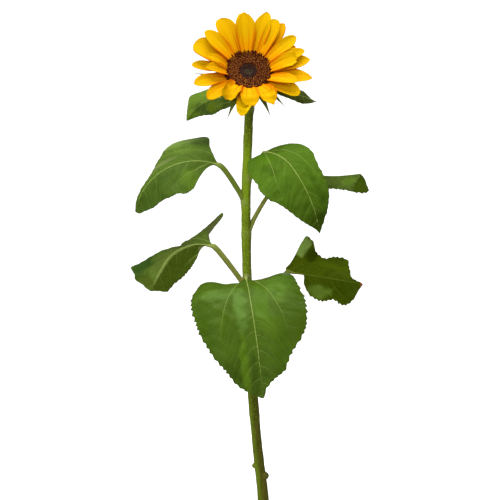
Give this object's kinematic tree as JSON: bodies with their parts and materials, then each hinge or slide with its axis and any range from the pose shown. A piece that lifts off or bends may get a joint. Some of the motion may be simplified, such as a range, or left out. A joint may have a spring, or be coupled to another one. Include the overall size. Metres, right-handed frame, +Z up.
{
  "type": "sunflower plant",
  "caption": "Upright sunflower plant: a leaning green stem with a yellow flower head and heart-shaped leaves on stalks, cut flat at ground level.",
  "frame": {"origin": "middle of the flat cut under the stem, at ground level", "axes": "+Z up along the plant, -Y the way the flower head faces, +X to the right of someone facing the flower"},
  "size_m": [0.2766, 0.1588, 0.586],
  "materials": {
    "stem": "bristly green",
    "stalk": "pale green",
    "leaf": "matt green with pale veins",
    "cup": "downy green",
    "disc": "grainy brown",
    "ray": "silky yellow"
  },
  "bodies": {
    "root": {"stem": "stem", "flower_disc": "disc", "flower_cup": "cup", "ray_top": "ray", "ray_top_right_1": "ray", "ray_top_right_2": "ray", "ray_top_right_3": "ray", "ray_top_right_4": "ray", "ray_right_upper_1": "ray", "ray_right_upper_2": "ray", "ray_right_upper_3": "ray", "ray_right_1": "ray", "ray_right_2": "ray", "ray_right_3": "ray", "ray_right_4": "ray", "ray_right_lower": "ray", "ray_bottom_right_1": "ray", "ray_bottom_right_2": "ray", "ray_bottom": "ray", "ray_bottom_hanging": "ray", "ray_bottom_left_1": "ray", "ray_bottom_left_2": "ray", "ray_left_lower": "ray", "ray_left_1": "ray", "ray_left_2": "ray", "ray_left_3": "ray", "ray_left_upper_1": "ray", "ray_left_upper_2": "ray", "ray_top_left": "ray", "stalk_collar_left": "stalk", "stalk_collar_right": "stalk", "stalk_upper_left": "stalk", "stalk_upper_front": "stalk", "stalk_upper_right": "stalk", "stalk_lower_left": "stalk", "stalk_heart_front": "stalk", "stalk_lower_right": "stalk", "leaf_collar_left": "leaf", "leaf_collar_right": "leaf", "leaf_upper_left": "leaf", "leaf_upper_front": "leaf", "leaf_upper_right": "leaf", "leaf_lower_left": "leaf", "leaf_heart_front": "leaf", "leaf_lower_right": "leaf"}
  },
  "joints": []
}
